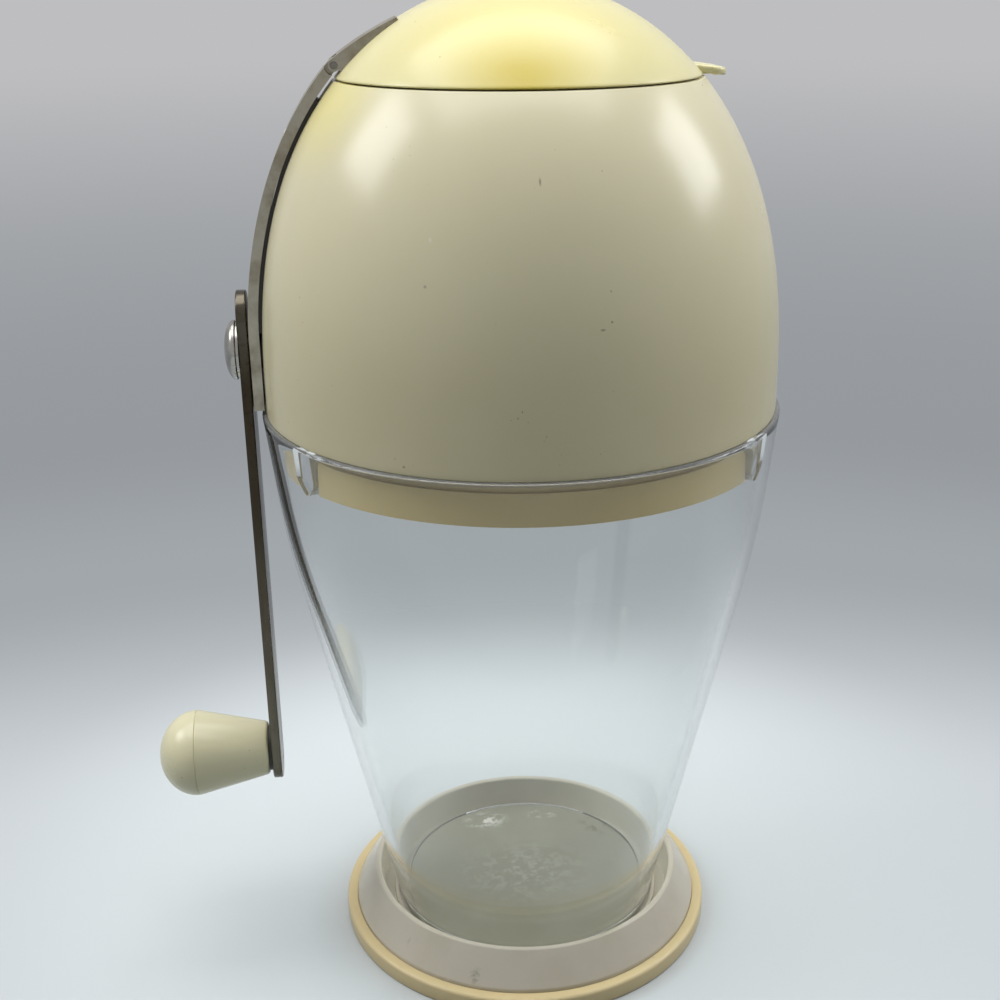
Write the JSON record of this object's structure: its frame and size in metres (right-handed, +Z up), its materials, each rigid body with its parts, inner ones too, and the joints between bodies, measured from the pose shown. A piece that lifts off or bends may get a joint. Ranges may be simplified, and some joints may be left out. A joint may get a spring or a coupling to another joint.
{
  "type": "ice shaver",
  "caption": "Hand-cranked ice shaver: egg-shaped cream head with a hinged dome lid and steel strap, toothed blades inside, side crank with a conical knob, clear tapered tumbler on a flared foot",
  "frame": {"origin": "middle of the flat underside of the foot, on the egg's and tumbler's common axis", "axes": "+Z up along the common axis, -X to the side with the crank and the strap, +X to the lid's thumb tab, so +Y is the back in the picture"},
  "size_m": [0.1663, 0.1314, 0.254],
  "materials": {
    "cream_plastic": "glossy aged cream, yellow stains and fine scratches",
    "tan_plastic": "semi-gloss tan, yellowed",
    "smoky_plastic": "translucent warm grey",
    "clear_plastic": "clear, thick, glossy",
    "frosted_plastic": "frosted grey",
    "inner_plastic": "plain off-white",
    "bearing_plastic": "dark, matt",
    "brushed_steel": "brushed, worn edges",
    "crank_chrome": "bright, pitted by the nut",
    "blade_steel": "ground",
    "screw_steel": "plain turned"
  },
  "bodies": {
    "base": {"base_ring": "cream_plastic", "base_pad": "tan_plastic", "base_cup": "smoky_plastic"},
    "container": {"container": "clear_plastic", "container_floor": "frosted_plastic"},
    "head": {"hood": "cream_plastic", "chassis": "tan_plastic", "chassis_screws": "screw_steel", "crusher_box": "inner_plastic", "comb_front": "inner_plastic", "comb_back": "inner_plastic", "comb_screws": "screw_steel", "hopper": "inner_plastic", "strap": "brushed_steel", "strap_spacers": "screw_steel", "strap_screws": "screw_steel", "hinge_pin": "screw_steel", "outer_bush": "bearing_plastic", "inner_bushes": "bearing_plastic"},
    "lid": {"lid": "cream_plastic", "hinge_leaf": "brushed_steel", "leaf_screws": "screw_steel"},
    "crank": {"main_shaft": "screw_steel", "toothed_blades": "blade_steel", "blade_spacers": "blade_steel", "circlip": "blade_steel", "crank_arm": "crank_chrome", "crank_washer": "crank_chrome", "dome_nut": "crank_chrome", "handle_spindle": "screw_steel", "knob_washer": "bearing_plastic"},
    "knob": {"knob_grip": "cream_plastic", "knob_cap": "cream_plastic"}
  },
  "joints": [
    {"name": "container_lift", "type": "slide", "parent": "base", "child": "container", "axis": [0, 0, 1], "range_m": [0, 0.05]},
    {"name": "head_lift", "type": "slide", "parent": "container", "child": "head", "axis": [0, 0, 1], "range_m": [0, 0.05]},
    {"name": "lid_hinge", "type": "hinge", "parent": "head", "child": "lid", "pos_m": [-0.04329, 0, 0.23602], "axis": [0, -1, 0], "range_deg": [0, 90]},
    {"name": "crank_turn", "type": "hinge", "parent": "head", "child": "crank", "pos_m": [-0.06755, 0, 0.1687], "axis": [1, 0, 0], "continuous": true},
    {"name": "knob_spin", "type": "hinge", "parent": "crank", "child": "knob", "pos_m": [-0.07005, 0, 0.0555], "axis": [1, 0, 0], "continuous": true}
  ]
}
